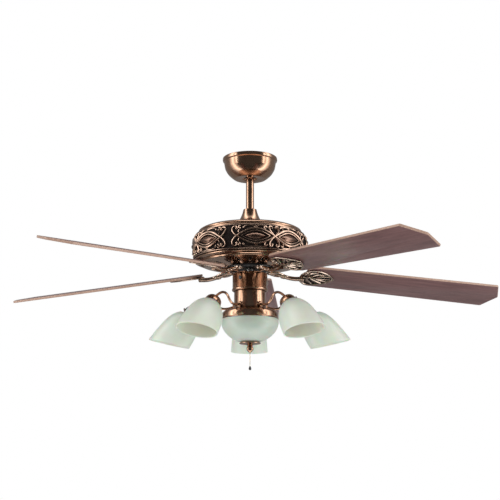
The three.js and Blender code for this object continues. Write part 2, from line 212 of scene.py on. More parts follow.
def veneer():
    """Satin walnut veneer with its grain along the blade."""
    material, nodes, links, shader = new_material("walnut_veneer")
    figure = noise(nodes, links, 9, 6, (0.9, 11, 11))
    pores = noise(nodes, links, 85, 4, (0.55, 12, 12))
    stops = [(0.30, (0.110, 0.047, 0.046)), (0.50, (0.150, 0.068, 0.066)), (0.70, (0.190, 0.093, 0.090))]
    base = ramp(nodes, links, figure, stops)
    shade = ramp(nodes, links, pores, [(0.38, 0.78), (0.56, 1.0)])
    mix = nodes.new("ShaderNodeMix")
    mix.data_type = "RGBA"
    mix.blend_type = "MULTIPLY"
    mix.inputs["Factor"].default_value = 0.8
    links.new(base, mix.inputs["A"])
    links.new(shade, mix.inputs["B"])
    links.new(mix.outputs["Result"], shader.inputs["Base Color"])
    links.new(ramp(nodes, links, pores, [(0.35, 0.42), (0.6, 0.28)]), shader.inputs["Roughness"])
    shader.inputs["Coat Weight"].default_value = 0.12
    shader.inputs["Coat Roughness"].default_value = 0.3
    bump(nodes, links, shader, pores, 0.25, 0.00012)
    return material


def frosted(name, pale, deep):
    """Etched glass, cloudy in its thickness: light goes in and spreads, and little is seen through it."""
    material, nodes, links, shader = new_material(name)
    cloud = noise(nodes, links, 22, 5)
    links.new(ramp(nodes, links, cloud, [(0.3, deep), (0.7, pale)]), shader.inputs["Base Color"])
    grain = noise(nodes, links, 900, 2)
    links.new(ramp(nodes, links, grain, [(0.3, 0.34), (0.7, 0.5)]), shader.inputs["Roughness"])
    shader.inputs["Subsurface Weight"].default_value = 0.5
    shader.inputs["Subsurface Scale"].default_value = 0.012
    shader.inputs["Transmission Weight"].default_value = 0.22
    shader.inputs["Coat Weight"].default_value = 0.15
    shader.inputs["IOR"].default_value = 1.45
    bump(nodes, links, shader, grain, 0.12, 0.00008)
    return material


def moulded(name, light, dark, roughness, scale=300, shine=0.5):
    """Moulded plastic, porcelain or paint with a faint mottle."""
    material, nodes, links, shader = new_material(name)
    mottle = noise(nodes, links, scale, 3)
    links.new(ramp(nodes, links, mottle, [(0.35, dark), (0.65, light)]), shader.inputs["Base Color"])
    smooth, rough = roughness
    links.new(ramp(nodes, links, mottle, [(0.35, smooth), (0.65, rough)]), shader.inputs["Roughness"])
    shader.inputs["Specular IOR Level"].default_value = shine
    bump(nodes, links, shader, mottle, 0.15, 0.0001)
    return material


AROUND = (1, 1, 14)  # brush lines run round the vertical axis
COPPER = metal("antique_copper", (0.40, 0.252, 0.172), (0.31, 0.185, 0.122), (0.16, 0.22), AROUND)
ARM_COPPER = metal("arm_copper", (0.36, 0.215, 0.140), (0.25, 0.140, 0.090), (0.16, 0.22))
EDGE = moulded("edge_band", (0.50, 0.33, 0.25), (0.38, 0.235, 0.175), (0.3, 0.42))
# Castings: cream on their edges as painted highlight, black in their hollows as painted shade.
CASTING = cast_metal("antique_casting_painted_light", (0.52, 0.36, 0.27), (0.18, 0.098, 0.068), (0.028, 0.014, 0.010))
# The leaves: the same casting made darker all over, painted shade.
LEAF = cast_metal("leaf_casting_painted_shade", (0.30, 0.19, 0.14), (0.07, 0.038, 0.028), (0.020, 0.011, 0.009))
IRON = cast_metal("iron_casting", (0.66, 0.52, 0.42), (0.13, 0.078, 0.058), (0.014, 0.009, 0.007))
IRON_ARM = metal("polished_arm", (0.40, 0.285, 0.215), (0.13, 0.080, 0.058), (0.18, 0.28))
# Near-black standing in for shade: painted shade behind the ornament, in the irons' openwork and on the vent
# cutter.
PAINTED_SHADE_BLACK = moulded("painted_shade_black", (0.016, 0.009, 0.008), (0.006, 0.004, 0.003), (0.6, 0.8), shine=0.12)
STEEL = metal("zinc_plate", (0.60, 0.60, 0.58), (0.46, 0.46, 0.45), (0.28, 0.42))
SILVER = metal("nickel_screw", (0.78, 0.77, 0.74), (0.6, 0.59, 0.57), (0.18, 0.3))
DIECAST = metal("diecast", (0.50, 0.50, 0.51), (0.36, 0.36, 0.37), (0.42, 0.6))
BRASS = metal("bright_brass", (0.83, 0.72, 0.50), (0.70, 0.58, 0.38), (0.16, 0.28))
BLACK = moulded("black_plastic", (0.020, 0.019, 0.019), (0.010, 0.010, 0.010), (0.38, 0.55))
WALNUT = veneer()
SHADE_GLASS = frosted("shade_glass", (0.86, 0.92, 0.83), (0.80, 0.87, 0.77))
BOWL_GLASS = frosted("bowl_glass", (0.72, 0.77, 0.68), (0.64, 0.69, 0.60))
OPAL = moulded("opal_bulb", (0.93, 0.93, 0.90), (0.88, 0.88, 0.85), (0.2, 0.3))
PORCELAIN = moulded("porcelain", (0.88, 0.86, 0.80), (0.80, 0.78, 0.72), (0.15, 0.3))


# ---- making pieces ----

class Skin:
    """Points and faces of one piece, in millimetres, gathered before it is made."""

    def __init__(self):
        self.points, self.faces, self.kinds = [], [], []

    def add(self, points, faces, kind=0):
        start = len(self.points)
        self.points += [tuple(p) for p in points]
        self.faces += [tuple(start + i for i in face) for face in faces]
        self.kinds += [kind] * len(faces)
        return self

    def merge(self, other, place=Matrix.Identity(4)):
        points = [place @ Vector(p) for p in other.points]
        start = len(self.points)
        self.points += [tuple(p) for p in points]
        self.faces += [tuple(start + i for i in face) for face in other.faces]
        self.kinds += other.kinds
        return self


def piece(name, skin, materials, body, replaced=(), place=Matrix.Identity(4), bevel=0.0, sharp=38):
    """A mesh object from a skin: welded, facing out, smooth apart from its sharp edges."""
    mesh = bpy.data.meshes.new(name)
    bm = bmesh.new()
    corners = [bm.verts.new(Vector(p) * MM) for p in skin.points]
    for face, kind in zip(skin.faces, skin.kinds):
        if len(set(face)) > 2:
            try:
                made = bm.faces.new([corners[i] for i in face])
                made.material_index = kind
                made.smooth = True
            except ValueError:
                continue  # the same face twice, where two shapes share a side
    bmesh.ops.remove_doubles(bm, verts=bm.verts, dist=1e-6)
    bmesh.ops.recalc_face_normals(bm, faces=bm.faces)
    limit = math.radians(sharp)
    for edge in bm.edges:
        edge.smooth = len(edge.link_faces) == 2 and edge.calc_face_angle(0) < limit
    bm.to_mesh(mesh)
    bm.free()
    made = bpy.data.objects.new(name, mesh)
    bpy.context.scene.collection.objects.link(made)
    for material in materials:
        mesh.materials.append(material)
    made.matrix_world = place
    if bevel:
        rounding = made.modifiers.new("rounding", "BEVEL")
        rounding.width = bevel * MM
        rounding.segments = 2
        rounding.limit_method = "ANGLE"
        rounding.angle_limit = math.radians(sharp)
        rounding.harden_normals = False
    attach(made, body)
    if replaced:
        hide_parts(*replaced)
    return made


def curve_through(points, steps=5):
    """A smooth line through points in any number of dimensions (Catmull-Rom)."""
    ends = [points[0], *points, points[-1]]
    line = []
    for a, b, c, d in zip(ends, ends[1:], ends[2:], ends[3:]):
        for step in range(steps):
            t = step / steps
            line.append(tuple(
                0.5 * (
                    2 * q + (r - p) * t
                    + (2 * p - 5 * q + 4 * r - s) * t**2
                    + (3 * q - p - 3 * r + s) * t**3
                )
                for p, q, r, s in zip(a, b, c, d)
            ))
    line.append(tuple(points[-1]))
    return line


def turned(profile, sides=ROUND):
    """A profile of (radius, z) turned round Z; where it doesn't close, its ends lie on the axis."""
    skin = Skin()
    points = [
        (r * math.cos(i * FULL / sides), r * math.sin(i * FULL / sides), z)
        for i in range(sides) for r, z in profile
    ]
    rows = len(profile)
    faces = []
    for i in range(sides):
        here, there = i * rows, ((i + 1) % sides) * rows
        for j in range(rows - 1):
            faces.append((here + j, there + j, there + j + 1, here + j + 1))
    return skin.add(points, faces)


def walled(outer, wall):
    """An outline with a second wall on its inner side, closed."""
    inner = []
    for i, (r, z) in enumerate(outer):
        r0, z0 = outer[max(i - 1, 0)]
        r1, z1 = outer[min(i + 1, len(outer) - 1)]
        length = math.hypot(r1 - r0, z1 - z0) or 1
        inner.append((max(r + (z1 - z0) / length * wall, 0), z - (r1 - r0) / length * wall))
    return [*outer, *reversed(inner), outer[0]]


def tube(path, radii, sides=10, flat=1.0, normal=None, kind=0):
    """A round rod along points; flat squashes it along normal, and radii may change on the way."""
    line = [Vector(p) for p in path]
    skin = Skin()
    rings = []
    for i, point in enumerate(line):
        ahead = (line[min(i + 1, len(line) - 1)] - line[max(i - 1, 0)]).normalized()
        up = Vector(normal(point)) if callable(normal) else Vector(normal or (0, 0, 1))
        if abs(ahead.dot(up)) > 0.98:
            up = Vector((1, 0, 0))
        across = ahead.cross(up).normalized()
        up = across.cross(ahead).normalized()
        radius = radii[i] if isinstance(radii, (list, tuple)) else radii
        rings.append([
            point + across * (radius * math.cos(k * FULL / sides))
            + up * (flat * radius * math.sin(k * FULL / sides))
            for k in range(sides)
        ])
    points = [p for ring in rings for p in ring]
    faces = [
        (i * sides + k, i * sides + (k + 1) % sides, (i + 1) * sides + (k + 1) % sides, (i + 1) * sides + k)
        for i in range(len(rings) - 1) for k in range(sides)
    ]
    last = (len(rings) - 1) * sides
    faces += [tuple(range(sides))[::-1], tuple(range(last, last + sides))]
    return skin.add(points, faces, kind)


def ball(centre, radius, flat=1.0, sides=12, rings=7):
    profile = [
        (radius * math.sin(math.pi * i / rings), -radius * flat * math.cos(math.pi * i / rings))
        for i in range(rings + 1)
    ]
    return Skin().merge(turned(profile, sides), Matrix.Translation(Vector(centre)))


def facing(point, direction):
    """Where Z points along direction, at point."""
    return Matrix.Translation(Vector(point)) @ Vector(direction).to_track_quat("Z", "Y").to_matrix().to_4x4()


def screw(radius, height, cross=True):
    """A domed head with a cross recess, its seat at z = 0."""
    dome = [(0, -0.6), (radius, -0.6), (radius, height * 0.35)]
    dome += [(radius * math.cos(a), height * (0.35 + 0.65 * math.sin(a))) for a in (0.35, 0.75, 1.15)]
    dome += [(radius * 0.42, height), (radius * 0.22, height * 0.45 if cross else height), (0, height * 0.4)]
    return turned(dome, 16)


look_from_the_room()


# ---- pull chain: the only cord ----

CHAIN_TOP, CHAIN_END = -528, -560.4
BEAD, PITCH = 1.2, 3.24


def pull_chain():
    skin = Skin()
    count = round((CHAIN_TOP - CHAIN_END) / PITCH)
    route = [(0, 0, CHAIN_TOP + (CHAIN_END - CHAIN_TOP) * i / 20) for i in range(21)]
    for i in range(count):
        skin.merge(ball((0, 0, CHAIN_TOP - BEAD - i * PITCH), BEAD, sides=14, rings=8))
    skin.merge(tube([route[0], route[-1]], 0.42, 8, normal=(1, 0, 0)))
    chain = piece("beaded_chain", skin, [BRASS], "chain", ["pull_chain"])
    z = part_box("chain_fob")[0][2] / MM
    outline = curve_through(
        [(1.5, CHAIN_END - GAP), (2.2, CHAIN_END - 2.2), (3.4, z + 4.4), (3.1, z + 1.6), (1.6, z + 0.2)]
    )
    fob_skin = turned([(0, CHAIN_END - GAP), *outline, (0, z)], 32)
    fob_skin.merge(turned([
        (2.3, CHAIN_END - 2.6), (2.75, CHAIN_END - 3.0), (2.75, CHAIN_END - 3.5), (2.3, CHAIN_END - 3.9),
    ], 32))
    fob = piece("chain_bell", fob_skin, [BLACK], "chain", ["chain_fob"])


pull_chain()
studio()


# ---- ceiling end ----

def canopy():
    rim = [(71, 0), (72.6, -1.2), (73, -3), (73, -7.5), (72.4, -9.4), (70.6, -10.6), (69.4, -11.6)]
    side = curve_through([(69.4, -11.6), (68.8, -18), (66, -31), (59, -43.5), (50, -52.5), (43.5, -57.6)], 7)
    outline = [*rim, *side[1:], (42.2, -58.4), (39, -58.6), (26, -58), (20.6, -57.6), (19.6, -56.6)]
    skin = turned(walled(outline, SHEET))
    for azimuth in (0, math.pi):
        out = Vector((math.cos(azimuth), math.sin(azimuth), 0))
        skin.merge(screw(2.6, 1.6), facing(out * 71.6 + Vector((0, 0, -5.4)), out))
    piece("canopy_shell", skin, [COPPER], "ceiling_mount", ["canopy"])


def ball_zone(radius, top, bottom, steps, centre=-34):
    depths = [top + (bottom - top) * i / steps for i in range(steps + 1)]
    return [(math.sqrt(radius**2 - d**2), centre - d) for d in depths]


def plate(length, width, low, high, slots=()):
    """A flat plate with rounded ends, as a skin."""
    skin = Skin()
    corner = 6
    outline = []
    for sx, sy, start in ((1, 1, 0), (-1, 1, 1), (-1, -1, 2), (1, -1, 3)):
        cx, cy = sx * (length / 2 - corner), sy * (width / 2 - corner)
        angles = [(start + k / 5) * math.pi / 2 for k in range(6)]
        outline += [(cx + corner * math.cos(a), cy + corner * math.sin(a)) for a in angles]
    count = len(outline)
    points = [(x, y, low) for x, y in outline] + [(x, y, high) for x, y in outline]
    faces = [tuple(range(count))[::-1], tuple(range(count, 2 * count))]
    faces += [(i, (i + 1) % count, count + (i + 1) % count, count + i) for i in range(count)]
    return skin.add(points, faces)


def bracket():
    skin = plate(104, 42, -2.5, 0)
    socket = ball_zone(27, 2, 17.5, 8)
    skin.merge(turned([(31.5, -51.5), (31.5, -36), *socket, (31.5, -51.5)], 64))
    for side in (-1, 1):
        cheek = plate(49, 29.4, -1.25, 1.25)
        stand = Matrix.Translation((side * 31, 0, -27)) @ Matrix.Rotation(math.pi / 2, 4, "Y")
        skin.merge(cheek, stand)
        skin.merge(
            screw(3.6, 2.2), Matrix.Translation((side * 43, 0, -2.5)) @ Matrix.Rotation(math.pi, 4, "X")
        )
    piece("bracket_pressing", skin, [STEEL], "ceiling_mount", ["hanger_bracket"], bevel=0.5)


def ball_and_liner():
    liner = [*ball_zone(26.2, 4, 15, 8), *reversed(ball_zone(22.8, 4, 15, 8))]
    piece(
        "liner_ring", turned([*liner, liner[0]], 64), [BLACK], "seat_liner",
        ["ball_seat_liner"]
    )
    skin = [(10.95, -16), *ball_zone(22, -18, 18, 18), (10.95, -52), (10.95, -16)]
    piece("ball_casting", turned(skin, 64), [DIECAST], "hanging_frame", ["hanger_ball"])
    pin = tube([(-15, 0, -27), (15, 0, -27)], 2.6, 16)
    piece("ball_cross_pin", pin, [STEEL], "hanging_frame")


def rod():
    bottom, top = -178, -19
    profile = [(8.2, bottom), (10.65, bottom), (10.65, top), (8.2, top), (8.2, bottom)]
    piece("rod_tube", turned(profile, 64), [COPPER], "hanging_frame", ["downrod"], bevel=0.3)
    bell = [(17, -142.5), (17.7, -143), (18, -144.4), (18.6, -147)]
    bell += curve_through(
        [(18.6, -147), (20.2, -153), (24, -163), (28.6, -171.5), (34, -178.5), (40.5, -184.3)], 6
    )[1:]
    piece(
        "coupling_bell", turned(walled(bell, SHEET)), [COPPER], "hanging_frame",
        ["coupling_cover"]
    )
    pin = tube([(-13.5, 0, -165), (13.5, 0, -165)], 2.4, 16)
    piece("coupling_pin", pin, [STEEL], "hanging_frame")


# ---- motor housing ----

BAND_TOP, BAND_BOTTOM, WIDEST, WIDEST_Z = -213.4, -280.4, 155.8, -243.5
BAND_MIDDLE = (BAND_TOP + BAND_BOTTOM) / 2
ORNAMENT_TURN = math.radians(24)  # the first crossing's azimuth past the front
PANELS = 4


def band_radius(z):
    """Outer radius of the barrel-shaped band."""
    top = z > WIDEST_Z
    edge, height = (138.5, BAND_TOP - WIDEST_Z) if top else (147.9, BAND_BOTTOM - WIDEST_Z)
    share = min(abs((z - WIDEST_Z) / height), 1)
    return edge + (WIDEST - edge) * math.sqrt(1 - share**2) if share < 1 else edge


def on_band(u, v, depth, turn):
    """u millimetres round the band and v above its middle, sunk by depth."""
    z = BAND_MIDDLE + v
    radius = band_radius(z) - depth
    azimuth = -math.pi / 2 + turn + u / WIDEST
    return Vector((radius * math.cos(azimuth), radius * math.sin(azimuth), z))


def out_of_axis(point):
    return Vector((point.x, point.y, 0)).normalized()


def spiral(centre, start, end, radius, tighter, steps=16):
    """A scroll in the band's plane, from angle start to end, its radius shrinking to tighter times itself."""
    line = []
    for i in range(steps + 1):
        t = i / steps
        angle = math.radians(start + (end - start) * t)
        r = radius * (1 - t + tighter * t)
        line.append((centre[0] + r * math.cos(angle), centre[1] + r * math.sin(angle)))
    return line


def panel_strokes():
    """Scrolls of a quarter of one panel, as (outline, widest radius, narrowest radius, ball radius)."""
    curl_in = [
        (-6.2, -19.6), (-5.4, -23.4), (-8.6, -26.2), (-12.8, -24), (-13.4, -17.6), (-9.8, -10.6), (-5, -4.8),
    ]
    eye = [(100 * i / 28, 19.5 * math.sin(math.pi * i / 28)) for i in range(29)]
    curl_out = [
        (105.4, -4.6), (110.4, -10.4), (112.8, -17.4), (110.6, -23.6), (105, -25.6), (100.4, -22.8),
        (101, -19),
    ]
    strand = curve_through(curl_in, 3)[:-1] + [curl_in[-1]] + eye + curve_through(curl_out, 3)
    echo = [(12 + 76 * i / 20, 13.2 * math.sin(math.pi * i / 20)) for i in range(21)]
    return [
        (strand, 2.7, 1.9, 3.4),
        (echo, 1.6, 0.7, 0),
        (curve_through([
            (19.5, 21.5), (24, 26.4), (36, 28.4), (50, 27.2), (64, 28.4), (77, 26.4), (83, 21.5),
        ]), 2.1, 1.4, 2.6),
        (spiral((24.6, 20.6), 150, -60, 4.6, 0.5), 2.0, 1.4, 2.4),
        (spiral((91.5, 22.2), 120, -90, 5.0, 0.5), 2.1, 1.4, 2.6),
        (curve_through([(92, 6), (95.5, 11), (94.5, 17)]), 1.5, 0.8, 0),
        (curve_through([(46, 21.5), (50, 24.6), (54, 21.5)]), 1.3, 0.9, 0),
    ]


def almond(length, height, thick, turn, centre):
    """A pointed leaf in the eye, crowned with a ridge along its middle."""
    skin = Skin()
    steps, across = 18, 6
    points = []
    for i in range(steps + 1):
        t = i / steps
        half = height * math.sin(math.pi * t) ** 0.85
        for k in range(across + 1):
            s = k / across * 2 - 1
            lift = thick * math.sin(math.pi * t) ** 0.5 * (1 - abs(s) ** 1.4)
            points.append(on_band(centre + (t - 0.5) * length, s * half, 5.4 - lift, turn))
        points.append(on_band(centre + (t - 0.5) * length, 0, 7.5, turn))
    row = across + 2
    faces = []
    for i in range(steps):
        a, b = i * row, (i + 1) * row
        faces += [(a + k, b + k, b + k + 1, a + k + 1) for k in range(across)]
        faces += [(a + across, b + across, b + row - 1, a + row - 1), (a + row - 1, b + row - 1, b, a)]
    # the leaf's faces take the darker casting, painted shade
    return skin.add(points, faces, 1)


def ornament():
    skin = Skin()
    strokes = panel_strokes()
    for panel in range(PANELS):
        turn = ORNAMENT_TURN + panel * FULL / PANELS
        for outline, wide, thin, knob in strokes:
            count = len(outline) - 1
            radii = [
                thin + (wide - thin) * math.sin(math.pi * min(i / count + 0.15, 1))
                for i in range(count + 1)
            ]
            for su in (-1, 1):
                for sv in (-1, 1):
                    line = [on_band(su * u, sv * v, 3.1, turn) for u, v in outline]
                    skin.merge(tube(line, radii, 8, 0.95, out_of_axis))
                    if knob:
                        u, v = outline[-1]
                        skin.merge(ball(on_band(su * u, sv * v, 3.2, turn), knob, sides=10, rings=6))
        for centre in (-50, 50):
            skin.merge(almond(60, 8.6, 5.0, turn, centre))
        skin.merge(ball(on_band(0, 0, 3.4, turn), 2.8))
    piece("scroll_ornament", skin, [CASTING, LEAF], "hanging_frame", ["housing_band"])


def band_wall():
    """The wall behind the ornament, between its two fillets, near-black as painted shade."""
    steps = 22
    outline = []
    for i in range(steps + 1):
        z = BAND_TOP + (BAND_BOTTOM - BAND_TOP) * i / steps
        edge = min(i, steps - i)
        depth = (0.6, 0.6, 4.2)[edge] if edge < 3 else 6.2
        outline.append((band_radius(z) - depth, z))
    piece("band_wall", turned(walled(outline, 3), ROUND * 2), [PAINTED_SHADE_BLACK], "hanging_frame")
    fillets = Skin()
    for z, size in ((BAND_TOP - 2.4, 1.6), (BAND_BOTTOM + 2.2, 1.6)):
        radius = band_radius(z) - 1.8
        circle = [
            (radius + size * math.cos(a * FULL / 10), z + size * math.sin(a * FULL / 10))
            for a in range(11)
        ]
        fillets.merge(turned(circle, ROUND * 2))
    piece("band_fillets", fillets, [CASTING], "hanging_frame")


def housing_covers():
    top = [(8.4, -186.5), (48, -186.5)]
    top += curve_through([(48, -186.5), (92, -192.5), (124, -198), (132.6, -201.6)], 6)[1:]
    top += [
        (135.2, -203), (136.5, -205), (136.3, -207.2), (135.4, -208.3), (136.3, -209.4), (136.5, -211.8),
        (135.6, -213),
    ]
    piece(
        "top_cover", turned(walled(top, SHEET), ROUND * 2), [COPPER], "hanging_frame",
        ["housing_top"]
    )
    z = BAND_BOTTOM - GAP
    base = [
        (142.5, z), (146.8, z - 0.4), (147.7, z - 1.6), (147.7, z - 3.6), (146.6, z - 4.9), (140, z - 6),
        (133, z - 6.6),
    ]
    base += [(132, z - 7.6), (132, z - 10.6), (131, z - 11.8), (124, z - 13)]
    base += curve_through([(124, z - 13), (100, z - 16.2), (78, z - 18.6), (66.5, z - 20.2)], 5)[1:]
    base += [(63.6, z - 20.6), (62, z - 20)]
    cover = piece(
        "base_cover", turned(walled(base, SHEET), ROUND * 2), [COPPER, PAINTED_SHADE_BLACK], "hanging_frame",
        ["housing_base"]
    )
    slots = Skin()
    count, inner, outer, half = 20, 88, 112, 2.5
    for i in range(count):
        outline = [
            (inner + half + half * math.cos(a), half * math.sin(a))
            for a in (math.pi / 2, 2.1, 2.6, math.pi, 3.7, 4.2, 4.712)
        ]
        outline += [
            (outer - half + half * math.cos(a), half * math.sin(a))
            for a in (-1.571, -1.05, -0.5, 0, 0.5, 1.05, 1.571)
        ]
        n = len(outline)
        points = [(x, y, level) for level in (z - 24, z - 4) for x, y in outline]
        faces = [tuple(range(n))[::-1], tuple(range(n, 2 * n))]
        faces += [(k, (k + 1) % n, n + (k + 1) % n, n + k) for k in range(n)]
        slots.merge(Skin().add(points, faces), Matrix.Rotation(i * FULL / count, 4, "Z"))
    # the cutter carries the near-black painted shade
    cutter = piece("vent_cutter", slots, [PAINTED_SHADE_BLACK], "hanging_frame")
    pierce(cover, cutter)


def pierce(target, cutter):
    """Cuts one piece out of another and removes the cutter."""
    cut = target.modifiers.new("cut", "BOOLEAN")
    cut.object = cutter
    cut.solver = "EXACT"
    graph = bpy.context.evaluated_depsgraph_get()
    result = bpy.data.meshes.new_from_object(target.evaluated_get(graph))
    target.modifiers.remove(cut)
    target.data = result
    bpy.data.objects.remove(cutter)


def motor():
    """The parts inside and under the housing."""
    for name, material in (
        ("motor_coupling", DIECAST), ("motor_shaft", STEEL), ("stator_core", STEEL), ("rotor_drum", DIECAST),
        ("motor_bearing", STEEL),
    ):
        dress(name, material)
    profile = [
        (12, -306), (12, -297), (55, -297), (57.4, -298), (58, -299.6), (58, -303.4), (57.2, -305),
        (55.4, -306),
    ]
    skin = turned([*profile, (44, -306), (43.4, -305), (20, -305), (19.4, -306), (12, -306)], ROUND)
    piece("flywheel_disc", skin, [BLACK], "rotor", ["flywheel"])


def dress(node, material):
    """A CAD node keeps its shape and gets a finished material."""
    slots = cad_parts[node].data.materials
    slots.clear()
    slots.append(material)


# ---- blades and irons ----

DROOP, PITCH_ANGLE, APEX = math.radians(3.24), math.radians(15.07), -307.4
BLADE_TILT = Matrix.Translation((0, 0, APEX)) @ Matrix.Rotation(DROOP, 4, "Y") @ Matrix.Rotation(
    -PITCH_ANGLE, 4, "X"
)
ROOT, TIP, SHOULDER, ROOT_HALF, TIP_HALF, CORNER, THICK = 150, 711, 685, 53, 61, 22, 6


def blade_place(i):
    turn = Matrix.Rotation(BLADE_AZIMUTH + i * FULL / COUNT, 4, "Z")
    tilt = Matrix.Translation((0, 0, APEX * MM)) @ BLADE_TILT.to_3x3().to_4x4()
    return turn @ tilt


def blade_skin():
    """Two veneered faces and the copper-coloured band round the edge, with softly rounded arrises."""
    arc = [i * math.pi / 16 for i in range(9)]
    outline = [
        (SHOULDER - 2.4, -TIP_HALF + 0.1), (SHOULDER, -TIP_HALF + 0.9), (SHOULDER + 1.4, -TIP_HALF + 3),
    ]
    outline += [(TIP - 1.6, -4.4), (TIP - 0.3, -1.6), (TIP - 0.3, 1.6), (TIP - 1.6, 4.4)]
    outline += [(x, -y) for x, y in reversed(outline[:3])]
    outline += [
        (ROOT + CORNER - CORNER * math.sin(a), ROOT_HALF - CORNER + CORNER * math.cos(a)) for a in arc
    ]
    outline += [
        (ROOT + CORNER - CORNER * math.cos(a), -ROOT_HALF + CORNER - CORNER * math.sin(a)) for a in arc
    ]
    middle = (sum(x for x, _ in outline) / len(outline), 0)
    inset = 0.8
    rings = []
    for z, pull in ((0, inset), (inset, 0), (THICK - inset, 0), (THICK, inset)):
        ring = []
        for x, y in outline:
            away = math.hypot(x - middle[0], y - middle[1])
            ring.append((x - pull * (x - middle[0]) / away, y - math.copysign(min(pull, abs(y)), y), z))
        rings.append(ring)
    n = len(outline)
    skin = Skin()
    points = [p for ring in rings for p in ring]
    skin.add(points, [tuple(range(n))[::-1], tuple(range(3 * n, 4 * n))], 0)
    sides = [
        (r * n + k, r * n + (k + 1) % n, (r + 1) * n + (k + 1) % n, (r + 1) * n + k)
        for r in range(3) for k in range(n)
    ]
    skin.faces += sides
    skin.kinds += [1] * len(sides)
    return skin


def leaf_lobe(base, tip, width, lift):
    """One ribbed lobe of the cast leaf, in the blade's plane below its underside."""
    skin = Skin()
    a, b = Vector((*base, 0)), Vector((*tip, 0))
    along = b - a
    side = Vector((-along.y, along.x, 0)).normalized()
    steps, across = 12, 6
    points = []
    for i in range(steps + 1):
        t = i / steps
        half = width * math.sin(math.pi * min(t * 0.92 + 0.04, 1)) ** 0.8
        bend = side * (lift * math.sin(math.pi * t))
        for k in range(across + 1):
            s = k / across * 2 - 1
            crown = 2.0 * (1 - s * s)
            points.append(a + along * t + bend + side * (half * s) + Vector((0, 0, -1.8 - crown)))
        points.append(a + along * t + bend + Vector((0, 0, -0.4)))
    row = across + 2
    faces = []
    for i in range(steps):
        p, q = i * row, (i + 1) * row
        faces += [(p + k, q + k, q + k + 1, p + k + 1) for k in range(across)]
        faces += [(p + across, q + across, q + row - 1, p + row - 1), (p + row - 1, q + row - 1, q, p)]
    return skin.add(points, faces)


def medallion():
    """The openwork leaf under the blade's root: an outline rod, a middle rib, lobes and scrolls, over a
    near-black sheet that paints shade into its holes.
    """
    skin = Skin()
    level = -2.4
    half = curve_through(
        [(139, -10), (146, -27), (160, -38), (178, -40), (196, -33), (211, -23), (222, -12), (230, 0)], 5
    )
    outline = [*half, *[(x, -y) for x, y in reversed(half[:-1])], half[0]]
    skin.merge(tube([(x, y, level) for x, y in outline], 2.5, 10, 0.75))
    # A thin near-black sheet behind the openwork: painted shade in its holes.
    edge = [(x, y) for x, y in outline[:-1]]
    count = len(edge)
    backing = [(x, y, -0.3) for x, y in edge] + [(x, y, -1.3) for x, y in edge]
    faces = [tuple(range(count)), tuple(range(count, 2 * count))[::-1]]
    faces += [(k, (k + 1) % count, count + (k + 1) % count, count + k) for k in range(count)]
    skin.add(backing, faces, 1)
    rib = [(138, 0, level), (165, 0, level - 0.6), (200, 0, level - 0.6), (229, 0, level)]
    skin.merge(tube(curve_through(rib, 5), [3.2] * 6 + [2.6] * 5 + [1.8] * 5, 10, 0.7))
    for side in (-1, 1):
        for base, tip, width, lift in (
            ((147, 7), (157, 32), 3.4, 2), ((156, 6), (180, 33), 3.8, 4), ((168, 5), (203, 25), 3.8, 4),
            ((183, 4), (217, 13), 3.0, 3),
        ):
            lobe = leaf_lobe((base[0], side * base[1]), (tip[0], side * tip[1]), width, side * lift)
            skin.merge(lobe)
        curl = spiral((149, side * 20), side * 200, side * -90, 8, 0.35, 18)
        skin.merge(tube([(x, y, level - 0.6) for x, y in curl], 1.9, 8, 0.8))
        x, y = curl[-1]
        skin.merge(ball((x, y, level - 0.4), 3.0, 0.7))
    for x, y in ((163, 0), (196, 14), (196, -14)):
        head = Matrix.Translation((x, y, -3.4)) @ Matrix.Rotation(math.pi, 4, "X")
        skin.merge(turned([(0, 1.4), (5.4, 1.4), (5.4, 3.1), (0, 3.1)], 20), Matrix.Translation((x, y, -4.2)))
        skin.merge(screw(3.9, 0.9), head)
    return skin


def iron_skin():
    """Foot under the flywheel, swept arm and the medallion, in the fan's frame along +X."""
    skin = Skin()
    top = -306.3
    arm = curve_through([
        (50, 0, top - 5), (64, 0, top - 5.4), (82, 0, -316), (104, 0, -322), (124, 0, -324.3),
        (145, 0, -323),
    ], 7)
    count = len(arm)
    radii = [8.4 - 1.2 * math.sin(math.pi * i / (count - 1)) for i in range(count)]
    skin.merge(tube(arm, radii, 16, 0.75, kind=2))
    foot = plate(22, 33, top - 4.2, top)
    skin.merge(foot, Matrix.Translation((54.5, 0, 0)))
    for side in (-1, 1):
        for start, reach, rise in ((9, 24, 9), (5, 34, 7.5), (2, 44, 4)):
            leaf = curve_through([
                (52, side * start, top - 4.4), (60, side * (start + 6), top - 6),
                (60 + reach * 0.5, side * (start + rise + 5), top - 8),
                (60 + reach, side * (start + rise * 0.6), top - 9 - reach * 0.14),
            ], 6)
            steps = len(leaf) - 1
            swell = [1.0 + 2.4 * math.sin(math.pi * (i / steps) ** 0.8) for i in range(steps + 1)]
            skin.merge(tube(leaf, swell, 8, 0.8))
        skin.merge(
            screw(3.8, 2.0),
            Matrix.Translation((52, side * 11, top - 4.2)) @ Matrix.Rotation(math.pi, 4, "X")
        )
        curl = spiral((96, side * 9.5), 180 * side, side * -110, 8, 0.35, 18)
        skin.merge(tube([(x, y, -321 - (x - 96) * 0.12) for x, y in curl], 2.1, 8, 0.9))
        x, y = curl[-1]
        skin.merge(ball((x, y, -320.5), 3.1))
    return skin.merge(medallion(), BLADE_TILT)


def blades():
    board, iron = blade_skin(), iron_skin()
    for i in range(COUNT):
        number = i + 1
        piece(
            f"board_{number}", board, [WALNUT, EDGE], "rotor", [f"blade_{number}"], blade_place(i)
        )
        turn = Matrix.Rotation(BLADE_AZIMUTH + i * FULL / COUNT, 4, "Z")
        piece(
            f"iron_casting_{number}", iron, [IRON, PAINTED_SHADE_BLACK, IRON_ARM], "rotor",
            [f"blade_iron_{number}"], turn
        )


# ---- switch housing, hub, pan, bowl, finial ----

